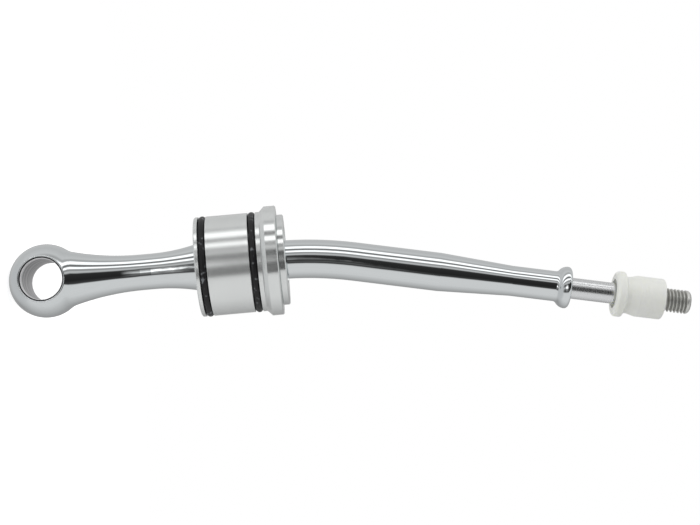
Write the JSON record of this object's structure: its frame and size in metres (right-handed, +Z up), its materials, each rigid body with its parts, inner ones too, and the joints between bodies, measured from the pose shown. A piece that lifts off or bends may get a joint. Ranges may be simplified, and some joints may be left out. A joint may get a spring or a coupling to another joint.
{
  "type": "short-throw gear lever",
  "caption": "Chromed gear lever with an eye at its foot, swivelling on a ball in a turned aluminium cartridge with O-rings, and a threaded tip with a white knob adapter.",
  "frame": {"origin": "centre of the pivot ball, on the axis of the cartridge's outer cylinder", "axes": "+Z up the cartridge's axis towards the knob, +X the way the upper lever leans, Y along the bore of the eye"},
  "size_m": [0.0627, 0.0462, 0.2858],
  "materials": {
    "chrome": "polished",
    "turned_aluminium": "fine turned",
    "ring_aluminium": "fine turned",
    "o_ring_rubber": "satin",
    "bare_steel": "rolled thread",
    "machined_steel": "machined",
    "spring_steel": "satin",
    "ball_steel": "ground",
    "seat_bronze": "turned",
    "liner_plastic": "moulded",
    "white_nylon": "turned"
  },
  "bodies": {
    "cartridge": {"pivot_housing": "turned_aluminium", "lower_o_ring": "o_ring_rubber", "upper_o_ring": "o_ring_rubber", "retaining_ring": "ring_aluminium", "backing_washer": "spring_steel", "disc_spring": "spring_steel"},
    "seats": {"lower_seat": "seat_bronze", "upper_seat": "seat_bronze"},
    "liner": {"ball_liner": "liner_plastic"},
    "lever": {"pivot_ball": "ball_steel", "eye_arm": "chrome", "eye_bush": "machined_steel", "upper_lever": "chrome", "knob_stud": "bare_steel", "knob_adapter": "white_nylon"}
  },
  "joints": [
    {"name": "lever_spin", "type": "hinge", "parent": "cartridge", "child": "seats", "pos_m": [0, 0, 0], "axis": [0, 0, 1], "continuous": true},
    {"name": "gate_tilt", "type": "hinge", "parent": "seats", "child": "liner", "pos_m": [0, 0, 0], "axis": [1, 0, 0], "range_deg": [-10, 10]},
    {"name": "shift_tilt", "type": "hinge", "parent": "liner", "child": "lever", "pos_m": [0, 0, 0], "axis": [0, 1, 0], "range_deg": [-10, 10]}
  ]
}
